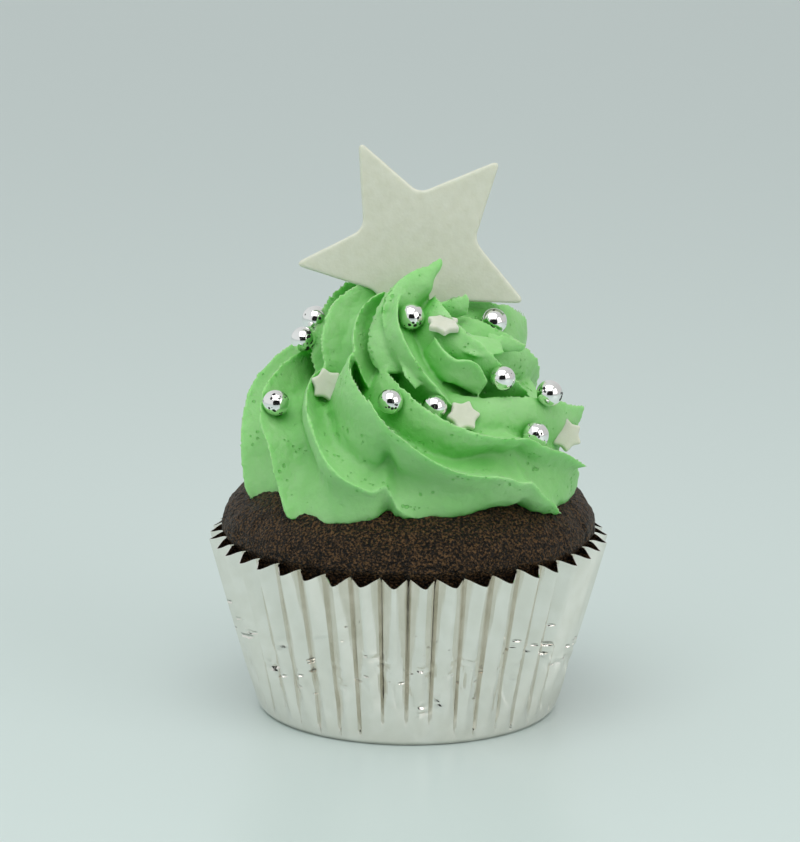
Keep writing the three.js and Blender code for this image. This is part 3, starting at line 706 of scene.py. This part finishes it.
# ---- materials
def foil_material():
    """Rolled aluminium foil, 40 microns: a bright metal with a satin face and faint rolling marks."""
    material, shader = new_material("rolled aluminium foil")
    shader.inputs["Metallic"].default_value = 1.0
    where = add_node(material, "ShaderNodeTexCoord")
    smudge = add_node(material, "ShaderNodeTexNoise", {"Scale": 300.0, "Detail": 3.0},
                      {"Vector": where.outputs["Object"]})
    tone = add_node(material, "ShaderNodeValToRGB", links={"Fac": smudge.outputs["Fac"]})
    tone.color_ramp.elements[0].position = 0.35
    tone.color_ramp.elements[0].color = linear("e9e5dd")
    tone.color_ramp.elements[1].position = 0.7
    tone.color_ramp.elements[1].color = linear("f2eee8")
    plug(material, tone.outputs["Color"], shader, "Base Color")
    gloss = add_node(material, "ShaderNodeMapRange", {"To Min": 0.13, "To Max": 0.2},
                     {"Value": smudge.outputs["Fac"]})
    plug(material, gloss.outputs["Result"], shader, "Roughness")
    fine = add_node(material, "ShaderNodeTexNoise", {"Scale": 1200.0, "Detail": 2.0},
                    {"Vector": where.outputs["Object"]})
    bump = add_node(material, "ShaderNodeBump", {"Strength": 0.05, "Distance": 0.05 * MM},
                    {"Height": fine.outputs["Fac"]})
    # finger marks: short level dents, in patches over the middle of the wall
    stretch = add_node(material, "ShaderNodeMapping", {"Scale": (300.0, 300.0, 950.0)},
                       {"Vector": where.outputs["Object"]})
    dents = add_node(material, "ShaderNodeTexVoronoi", {"Scale": 1.0}, {"Vector": stretch.outputs["Vector"]})
    patches = add_node(material, "ShaderNodeTexNoise", {"Scale": 160.0, "Detail": 1.0},
                       {"Vector": where.outputs["Object"]})
    level = add_node(material, "ShaderNodeSeparateXYZ", links={"Vector": where.outputs["Object"]})
    low = add_node(material, "ShaderNodeMapRange",
                   {"From Min": 4 * MM, "From Max": 11 * MM, "To Min": 0.0, "To Max": 1.0},
                   {"Value": level.outputs["Z"]})
    high = add_node(material, "ShaderNodeMapRange",
                    {"From Min": 17 * MM, "From Max": 24 * MM, "To Min": 1.0, "To Max": 0.0},
                    {"Value": level.outputs["Z"]})
    band = add_node(material, "ShaderNodeMath", links={0: low.outputs["Result"], 1: high.outputs["Result"]},
                    operation="MULTIPLY")
    reach = add_node(material, "ShaderNodeMapRange",
                     {"From Min": 0.46, "From Max": 0.75, "To Min": 0.0, "To Max": 0.48},
                     {"Value": patches.outputs["Fac"]})
    size = add_node(material, "ShaderNodeMath", links={0: reach.outputs["Result"], 1: band.outputs["Value"]},
                    operation="MULTIPLY")
    dent = add_node(material, "ShaderNodeMath",
                    links={0: size.outputs["Value"], 1: dents.outputs["Distance"]},
                    operation="SUBTRACT", use_clamp=True)
    bump = add_node(material, "ShaderNodeBump", {"Strength": 1.0, "Distance": 1.2 * MM},
                    {"Height": dent.outputs["Value"], "Normal": bump.outputs["Normal"]}, invert=True)
    plug(material, bump.outputs["Normal"], shader, "Normal")
    return material


def sponge_material():
    """Baked cocoa sponge: a matte open crumb; its colour is partly the crumb's own random tone and partly
    painted shade, darkest in the low, open parts.
    """
    material, shader = new_material("baked cocoa sponge")
    shader.inputs["Roughness"].default_value = 0.52
    shader.inputs["Specular IOR Level"].default_value = 0.24
    where = add_node(material, "ShaderNodeTexCoord")
    crumb = add_node(material, "ShaderNodeTexNoise", {"Scale": 2300.0, "Detail": 3.0, "Roughness": 0.7},
                     {"Vector": where.outputs["Object"]})
    # partly the crumb's own tone, partly painted shade: the same noise sinks the crumb in the bump below, and
    # its low, open parts are painted near black
    tone = add_node(material, "ShaderNodeValToRGB", links={"Fac": crumb.outputs["Fac"]})
    tone.color_ramp.elements[0].position = 0.47
    tone.color_ramp.elements[0].color = linear("0a0501")
    tone.color_ramp.elements[1].position = 0.64
    tone.color_ramp.elements[1].color = linear("6a4e30")
    plug(material, tone.outputs["Color"], shader, "Base Color")
    holes = add_node(material, "ShaderNodeTexVoronoi", {"Scale": 2300.0},
                     {"Vector": where.outputs["Object"]})
    height = add_node(material, "ShaderNodeMath",
                      links={0: crumb.outputs["Fac"], 1: holes.outputs["Distance"]}, operation="ADD")
    bump = add_node(material, "ShaderNodeBump", {"Strength": 1.0, "Distance": 0.45 * MM},
                    {"Height": height.outputs["Value"]})
    plug(material, bump.outputs["Normal"], shader, "Normal")
    return material


def buttercream_material():
    """Whipped butter and icing sugar: soft satin, light scattering inside, small air pits, with painted shade
    in the folds and in the pits.
    """
    material, shader = new_material("whipped buttercream")
    shader.inputs["Roughness"].default_value = 0.5
    shader.inputs["IOR"].default_value = 1.46
    shader.inputs["Subsurface Weight"].default_value = 0.55
    shader.inputs["Subsurface Radius"].default_value = (0.55, 1.0, 0.45)
    shader.inputs["Subsurface Scale"].default_value = 1.6 * MM
    where = add_node(material, "ShaderNodeTexCoord")
    cloud = add_node(material, "ShaderNodeTexNoise", {"Scale": 110.0, "Detail": 3.0},
                     {"Vector": where.outputs["Object"]})
    tone = add_node(material, "ShaderNodeValToRGB", links={"Fac": cloud.outputs["Fac"]})
    tone.color_ramp.elements[0].position = 0.35
    tone.color_ramp.elements[0].color = linear("90cf80")
    tone.color_ramp.elements[1].position = 0.68
    tone.color_ramp.elements[1].color = linear("9fd690")
    # painted shade: an ambient-occlusion mask tints the folds and creases a deeper, darker green where shade
    # falls in them
    fold_occlusion = add_node(material, "ShaderNodeAmbientOcclusion", {"Distance": 5 * MM}, samples=6)
    deep = add_node(material, "ShaderNodeMapRange",
                    {"From Min": 0.2, "From Max": 0.82, "To Min": 1.0, "To Max": 0.0},
                    {"Value": fold_occlusion.outputs["AO"]})
    painted_fold_shade = add_node(material, "ShaderNodeMix", {"B": linear("50b63c")},
                      {"Factor": deep.outputs["Result"], "A": tone.outputs["Color"]}, data_type="RGBA")
    cells = add_node(material, "ShaderNodeTexVoronoi", {"Scale": 1000.0, "Randomness": 1.0},
                     {"Vector": where.outputs["Object"]})
    sparse = add_node(material, "ShaderNodeTexNoise", {"Scale": 330.0, "Detail": 2.0},
                      {"Vector": where.outputs["Object"]})
    size = add_node(material, "ShaderNodeMapRange",
                    {"From Min": 0.48, "From Max": 0.72, "To Min": 0.0, "To Max": 0.45},
                    {"Value": sparse.outputs["Fac"]})
    depth = add_node(material, "ShaderNodeMath",
                     links={0: size.outputs["Result"], 1: cells.outputs["Distance"]},
                     operation="SUBTRACT", use_clamp=True)
    pit = add_node(material, "ShaderNodeMath", {1: 9.0}, {0: depth.outputs["Value"]},
                   operation="MULTIPLY", use_clamp=True)
    # painted shade: the small air pits, also sunk by the bump below, are tinted a darker green
    dark = add_node(material, "ShaderNodeMix", {"B": linear("80ca6e")},
                    {"Factor": pit.outputs["Value"], "A": painted_fold_shade.outputs["Result"]}, data_type="RGBA")
    plug(material, dark.outputs["Result"], shader, "Base Color")
    grain = add_node(material, "ShaderNodeTexNoise", {"Scale": 1000.0, "Detail": 4.0},
                     {"Vector": where.outputs["Object"]})
    height = add_node(material, "ShaderNodeMath", {1: 0.5}, {0: grain.outputs["Fac"]}, operation="MULTIPLY")
    surface = add_node(material, "ShaderNodeMath",
                       links={0: height.outputs["Value"], 1: pit.outputs["Value"]}, operation="SUBTRACT")
    bump = add_node(material, "ShaderNodeBump", {"Strength": 0.9, "Distance": 0.4 * MM},
                    {"Height": surface.outputs["Value"]})
    plug(material, bump.outputs["Normal"], shader, "Normal")
    return material


def paste_material():
    """Rolled gum paste: white, matte, faintly sugary, soft light inside."""
    material, shader = new_material("rolled gum paste")
    shader.inputs["Roughness"].default_value = 0.62
    shader.inputs["IOR"].default_value = 1.48
    shader.inputs["Subsurface Weight"].default_value = 0.5
    shader.inputs["Subsurface Radius"].default_value = (1.0, 0.95, 0.8)
    shader.inputs["Subsurface Scale"].default_value = 1.2 * MM
    where = add_node(material, "ShaderNodeTexCoord")
    cloud = add_node(material, "ShaderNodeTexNoise", {"Scale": 700.0, "Detail": 2.0},
                     {"Vector": where.outputs["Object"]})
    tone = add_node(material, "ShaderNodeValToRGB", links={"Fac": cloud.outputs["Fac"]})
    tone.color_ramp.elements[0].position = 0.3
    tone.color_ramp.elements[0].color = linear("d1d4c3")
    tone.color_ramp.elements[1].position = 0.7
    tone.color_ramp.elements[1].color = linear("d7dacb")
    plug(material, tone.outputs["Color"], shader, "Base Color")
    grain = add_node(material, "ShaderNodeTexNoise", {"Scale": 2200.0, "Detail": 2.0},
                     {"Vector": where.outputs["Object"]})
    bump = add_node(material, "ShaderNodeBump", {"Strength": 0.35, "Distance": 0.12 * MM},
                    {"Height": grain.outputs["Fac"]})
    plug(material, bump.outputs["Normal"], shader, "Normal")
    return material


def silver_material():
    """Silver leaf on a sugar ball: a mirror with small black spots in clusters, rougher and sunk a little."""
    material, shader = new_material("silver leaf on sugar")
    where = add_node(material, "ShaderNodeTexCoord")
    cells = add_node(material, "ShaderNodeTexVoronoi", {"Scale": 1300.0}, {"Vector": where.outputs["Object"]})
    sparse = add_node(material, "ShaderNodeTexNoise", {"Scale": 500.0, "Detail": 2.0},
                      {"Vector": where.outputs["Object"]})
    size = add_node(material, "ShaderNodeMapRange",
                    {"From Min": 0.47, "From Max": 0.68, "To Min": 0.0, "To Max": 0.5},
                    {"Value": sparse.outputs["Fac"]})
    # small spots in clusters: painted black, not metal, rougher, and sunk a little by the bump below
    black_spot = add_node(material, "ShaderNodeMath",
                   links={0: cells.outputs["Distance"], 1: size.outputs["Result"]}, operation="LESS_THAN")
    tone = add_node(material, "ShaderNodeMix", {"A": linear("f7f7f5"), "B": linear("0d0c0b")},
                    {"Factor": black_spot.outputs["Value"]}, data_type="RGBA")
    plug(material, tone.outputs["Result"], shader, "Base Color")
    metal = add_node(material, "ShaderNodeMath", {0: 1.0}, {1: black_spot.outputs["Value"]}, operation="SUBTRACT")
    plug(material, metal.outputs["Value"], shader, "Metallic")
    rough = add_node(material, "ShaderNodeMapRange", {"To Min": 0.07, "To Max": 0.5},
                     {"Value": black_spot.outputs["Value"]})
    plug(material, rough.outputs["Result"], shader, "Roughness")
    bump = add_node(material, "ShaderNodeBump", {"Strength": 0.6, "Distance": 0.08 * MM},
                    {"Height": metal.outputs["Value"]})
    plug(material, bump.outputs["Normal"], shader, "Normal")
    return material


def floor_material():
    material, shader = new_material("glazed pale tabletop")
    shader.inputs["Base Color"].default_value = linear("ccdbd8")
    shader.inputs["Roughness"].default_value = 0.35
    return material


# ---- stage
CAMERA_DISTANCE = 617.0
CAMERA_AIM = (-1.55, 0.0, 48.88)
CAMERA_ELEVATION = 12.78
CAMERA_ROLL = 0.46
CAMERA_LENS = 157.5
CARD_RADIUS = 0.4
CARD_DISTANCE = 0.72
LAMPS = [((-0.06, -0.25, 0.54), 0.5, 1.5, (1.0, 0.99, 0.97)),
         ((0.45, -0.35, 0.3), 0.4, 0.75, (1.0, 0.98, 0.96))]


def toward(place, target):
    return (Vector(target) - Vector(place)).to_track_quat("-Z", "Y")


def add_area(place, size, power, colour):
    bpy.ops.object.light_add(type="AREA", location=place)
    lamp = bpy.context.object
    lamp.data.size = size
    lamp.data.energy = power
    lamp.data.color = colour
    lamp.rotation_mode = "QUATERNION"
    lamp.rotation_quaternion = toward(place, (0, 0, 0.05))


def make_stage():
    bpy.ops.mesh.primitive_circle_add(vertices=96, radius=6, fill_type="NGON")
    floor = bpy.context.object
    floor.name = "tabletop"
    floor.data.materials.append(floor_material())
    # a dark card behind the camera, which the silver balls mirror as a spot
    elevation = math.radians(CAMERA_ELEVATION)
    back = Vector((0, -math.cos(elevation), math.sin(elevation)))
    bpy.ops.mesh.primitive_circle_add(vertices=48, radius=CARD_RADIUS, fill_type="NGON",
                                      location=back * CARD_DISTANCE)
    card = bpy.context.object
    card.name = "dark_card"
    card.rotation_mode = "QUATERNION"
    card.rotation_quaternion = back.to_track_quat("Z", "Y")
    black, shader = new_material("black card")
    shader.inputs["Base Color"].default_value = linear("0a0a0a")
    shader.inputs["Roughness"].default_value = 0.9
    card.data.materials.append(black)
    for lamp in LAMPS:
        add_area(*lamp)
    world = bpy.data.worlds.new("studio")
    bpy.context.scene.world = world
    world.use_nodes = True
    sky = world.node_tree.nodes["Background"]
    sky.inputs["Strength"].default_value = 0.78
    where = add_node(world, "ShaderNodeTexCoord")
    side = add_node(world, "ShaderNodeSeparateXYZ", links={"Vector": where.outputs["Generated"]})
    tone = add_node(world, "ShaderNodeMapRange", {"From Min": -0.8, "From Max": 0.8},
                    {"Value": side.outputs["X"]})
    walls = add_node(world, "ShaderNodeMix", {"A": (0.96, 1.0, 1.0, 1), "B": (0.74, 0.74, 0.74, 1)},
                     {"Factor": tone.outputs["Result"]}, data_type="RGBA")
    world.node_tree.links.new(walls.outputs["Result"], sky.inputs["Color"])
    place = (Vector(CAMERA_AIM) + back * CAMERA_DISTANCE) * MM
    bpy.ops.object.camera_add(location=place)
    camera = bpy.context.object
    camera.rotation_mode = "QUATERNION"
    camera.rotation_quaternion = (-back).to_track_quat("-Z", "Y") @ Quaternion(
        (0, 0, 1), math.radians(CAMERA_ROLL))
    camera.data.sensor_width = 36
    camera.data.lens = CAMERA_LENS
    camera.data.clip_start = 0.01
    bpy.context.scene.camera = camera
    bpy.context.scene.view_settings.view_transform = "Standard"


case = make_case()
dress(case, foil_material(), "foil", "case")
cake = make_cake()
dress(cake, sponge_material(), "sponge", "cake")
icing = make_icing()
dress(icing, buttercream_material(), "buttercream", "icing")
paste = paste_material()
star = make_star()
dress(star, paste, "sugar_paste", "star")
balls = make_balls()
dress(balls, silver_material(), "silver_balls")
sprinkles = make_sprinkles()
dress(sprinkles, paste, "sugar_paste")
make_stage()
